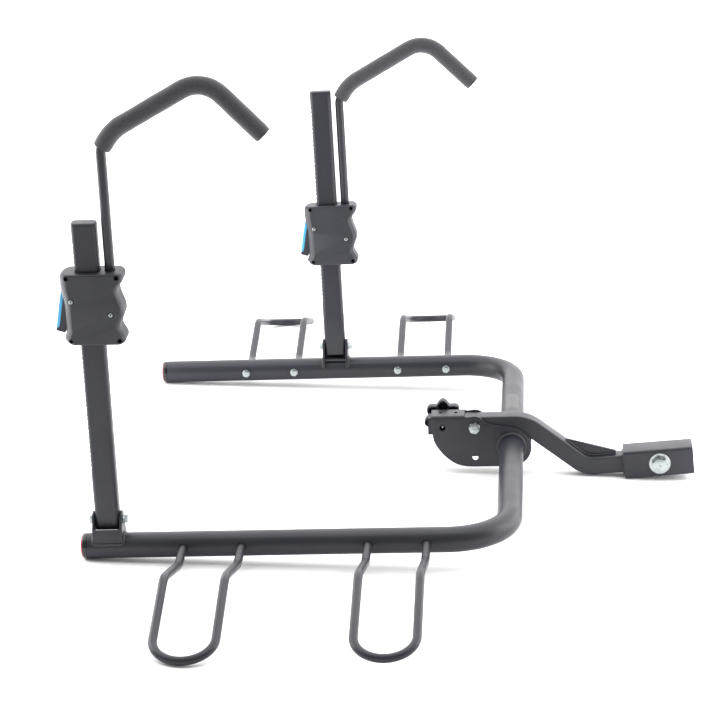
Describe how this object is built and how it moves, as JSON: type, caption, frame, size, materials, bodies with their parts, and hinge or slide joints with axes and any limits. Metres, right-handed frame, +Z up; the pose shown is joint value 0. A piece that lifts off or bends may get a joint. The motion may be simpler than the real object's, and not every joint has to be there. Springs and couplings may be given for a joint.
{
  "type": "hitch mounted bike rack",
  "caption": "Hitch mounted bike rack with a tilting U-shaped tube frame, outboard wheel loops, folding toothed masts and sliding ratchet clamps with foam covered hooks.",
  "frame": {"origin": "centre of the rack's footprint on the floor, with its lowest point at height zero", "axes": "+X along the arms towards the vehicle, +Y across the vehicle from one arm to the other, +Z up"},
  "size_m": [1.0466, 1.7306, 0.8088],
  "materials": {
    "black_coat": "satin black powder coat",
    "zinc": "bright zinc plated steel",
    "black_plastic": "fine textured moulded plastic",
    "foam": "matte closed-cell foam",
    "blue_plastic": "smooth light blue grip",
    "red_reflector": "glossy moulded reflector",
    "spring_steel": "bare spring steel"
  },
  "bodies": {
    "drawbar": {"shank_tube": "black_coat", "shank_gusset": "black_coat", "adapter_sleeve": "black_coat", "hitch_bolt": "zinc", "hitch_washer": "zinc", "hitch_nut": "zinc", "tilt_bolt": "zinc", "tilt_nut": "zinc"},
    "knob": {"lock_knob": "black_plastic", "lock_stud": "zinc", "lock_washer": "zinc"},
    "frame": {"main_frame_tube": "black_coat", "pivot_channel": "black_coat", "front_end_plug": "black_plastic", "front_reflector": "red_reflector", "front_mast_bracket": "black_coat", "front_mast_bolt": "zinc", "front_mast_nut": "zinc", "front_outer_wheel_loop": "black_coat", "front_outer_bolt_outer": "zinc", "front_outer_bolt_inner": "zinc", "front_inner_wheel_loop": "black_coat", "front_inner_bolt_outer": "zinc", "front_inner_bolt_inner": "zinc", "rear_end_plug": "black_plastic", "rear_reflector": "red_reflector", "rear_mast_bracket": "black_coat", "rear_mast_bolt": "zinc", "rear_mast_nut": "zinc", "rear_outer_wheel_loop": "black_coat", "rear_outer_bolt_outer": "zinc", "rear_outer_bolt_inner": "zinc", "rear_inner_wheel_loop": "black_coat", "rear_inner_bolt_outer": "zinc", "rear_inner_bolt_inner": "zinc"},
    "front_mast_assembly": {"front_mast": "black_coat", "front_mast_cap": "black_plastic"},
    "front_clamp": {"front_shell_near": "black_plastic", "front_shell_far": "black_plastic", "front_trigger_pin": "zinc", "front_rod_pin": "zinc", "front_trigger_spring": "spring_steel", "front_hook_rod": "black_coat", "front_hook_foam": "foam"},
    "front_lever": {"front_trigger": "black_plastic", "front_trigger_insert": "blue_plastic", "front_pawl": "spring_steel"},
    "rear_mast_assembly": {"rear_mast": "black_coat", "rear_mast_cap": "black_plastic"},
    "rear_clamp": {"rear_shell_near": "black_plastic", "rear_shell_far": "black_plastic", "rear_trigger_pin": "zinc", "rear_rod_pin": "zinc", "rear_trigger_spring": "spring_steel", "rear_hook_rod": "black_coat", "rear_hook_foam": "foam"},
    "rear_lever": {"rear_trigger": "black_plastic", "rear_trigger_insert": "blue_plastic", "rear_pawl": "spring_steel"}
  },
  "joints": [
    {"name": "frame_tilt", "type": "hinge", "parent": "drawbar", "child": "frame", "pos_m": [0.13076, 0, 0.08872], "axis": [0, 1, 0], "range_deg": [0, 90]},
    {"name": "lock_knob_turn", "type": "hinge", "parent": "drawbar", "child": "knob", "pos_m": [0.07383, 0, 0.08592], "axis": [0, 1, 0], "continuous": true},
    {"name": "front_mast_fold", "type": "hinge", "parent": "frame", "child": "front_mast_assembly", "pos_m": [-0.45398, -0.457, 0.06901], "axis": [-0.9988, 0, -0.049], "range_deg": [0, 80]},
    {"name": "front_clamp_slide", "type": "slide", "parent": "front_mast_assembly", "child": "front_clamp", "axis": [-0.0394, -0.0523, 0.9979], "range_m": [-0.16, 0.067]},
    {"name": "front_trigger_squeeze", "type": "hinge", "parent": "front_clamp", "child": "front_lever", "pos_m": [-0.49503, -0.47702, 0.44967], "axis": [0.0021, -0.9986, -0.0523], "range_deg": [0, 6.5], "stiffness_Nm_per_rad": 3, "springref_deg": -8.59},
    {"name": "rear_mast_fold", "type": "hinge", "parent": "frame", "child": "rear_mast_assembly", "pos_m": [-0.15434, 0.457, 0.08373], "axis": [0.9988, 0, 0.049], "range_deg": [0, 92]},
    {"name": "rear_clamp_slide", "type": "slide", "parent": "rear_mast_assembly", "child": "rear_clamp", "axis": [-0.0629, 0.0523, 0.9966], "range_m": [0, 0.21]},
    {"name": "rear_trigger_squeeze", "type": "hinge", "parent": "rear_clamp", "child": "rear_lever", "pos_m": [-0.19544, 0.46961, 0.32228], "axis": [-0.0033, -0.9986, 0.0522], "range_deg": [0, 6.5], "stiffness_Nm_per_rad": 3, "springref_deg": -8.59}
  ]
}
